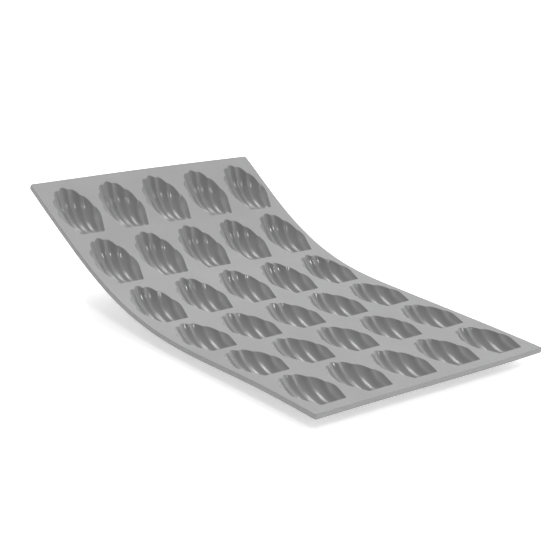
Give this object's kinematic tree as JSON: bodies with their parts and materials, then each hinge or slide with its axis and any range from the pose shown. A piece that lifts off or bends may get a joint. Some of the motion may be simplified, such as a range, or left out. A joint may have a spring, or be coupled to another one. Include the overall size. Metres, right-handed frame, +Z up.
{
  "type": "madeleine mould",
  "caption": "Flexible silicone baking mould: a thin flat sheet with rows of fluted shell-shaped cups for small cakes, bent up at one end; it flexes between the rows.",
  "frame": {"origin": "centre of the bounding box in X and Y, at the level of the cups' feet", "axes": "+Y along the sheet towards its raised far end, +X across it to the right, +Z up"},
  "size_m": [0.1766, 0.2896, 0.0701],
  "materials": {
    "silicone": "satin"
  },
  "bodies": {
    "row_1": {"row_1_sheet": "silicone", "row_1_cup_1": "silicone", "row_1_cup_2": "silicone", "row_1_cup_3": "silicone", "row_1_cup_4": "silicone", "row_1_cup_5": "silicone"},
    "row_2": {"row_2_sheet": "silicone", "row_2_cup_1": "silicone", "row_2_cup_2": "silicone", "row_2_cup_3": "silicone", "row_2_cup_4": "silicone", "row_2_cup_5": "silicone", "web_1_2": "silicone"},
    "row_3": {"row_3_sheet": "silicone", "row_3_cup_1": "silicone", "row_3_cup_2": "silicone", "row_3_cup_3": "silicone", "row_3_cup_4": "silicone", "row_3_cup_5": "silicone", "web_2_3": "silicone"},
    "row_4": {"row_4_sheet": "silicone", "row_4_cup_1": "silicone", "row_4_cup_2": "silicone", "row_4_cup_3": "silicone", "row_4_cup_4": "silicone", "row_4_cup_5": "silicone", "web_3_4": "silicone"},
    "row_5": {"row_5_sheet": "silicone", "row_5_cup_1": "silicone", "row_5_cup_2": "silicone", "row_5_cup_3": "silicone", "row_5_cup_4": "silicone", "row_5_cup_5": "silicone", "web_4_5": "silicone"},
    "row_6": {"row_6_sheet": "silicone", "row_6_cup_1": "silicone", "row_6_cup_2": "silicone", "row_6_cup_3": "silicone", "row_6_cup_4": "silicone", "row_6_cup_5": "silicone", "web_5_6": "silicone"}
  },
  "joints": [
    {"name": "flex_5_6", "type": "hinge", "parent": "row_6", "child": "row_5", "pos_m": [-0.00032, -0.09279, 0.0104], "axis": [1, 0, 0], "range_deg": [0, 50], "deforming": ["web_5_6"]},
    {"name": "flex_4_5", "type": "hinge", "parent": "row_5", "child": "row_4", "pos_m": [-0.00032, -0.04379, 0.0104], "axis": [1, 0, 0], "range_deg": [0, 50], "deforming": ["web_4_5"]},
    {"name": "flex_3_4", "type": "hinge", "parent": "row_4", "child": "row_3", "pos_m": [-0.00032, 0.00521, 0.0104], "axis": [1, 0, 0], "range_deg": [-8.4, 38], "deforming": ["web_3_4"]},
    {"name": "flex_2_3", "type": "hinge", "parent": "row_3", "child": "row_2", "pos_m": [-0.00032, 0.05324, 0.02008], "axis": [0.9998, 0.0038, -0.0188], "range_deg": [-11.3, 38], "deforming": ["web_2_3"]},
    {"name": "flex_1_2", "type": "hinge", "parent": "row_2", "child": "row_1", "pos_m": [-0.00013, 0.09828, 0.03939], "axis": [0.9991, 0.0134, -0.0413], "range_deg": [-7.2, 42], "deforming": ["web_1_2"]}
  ]
}
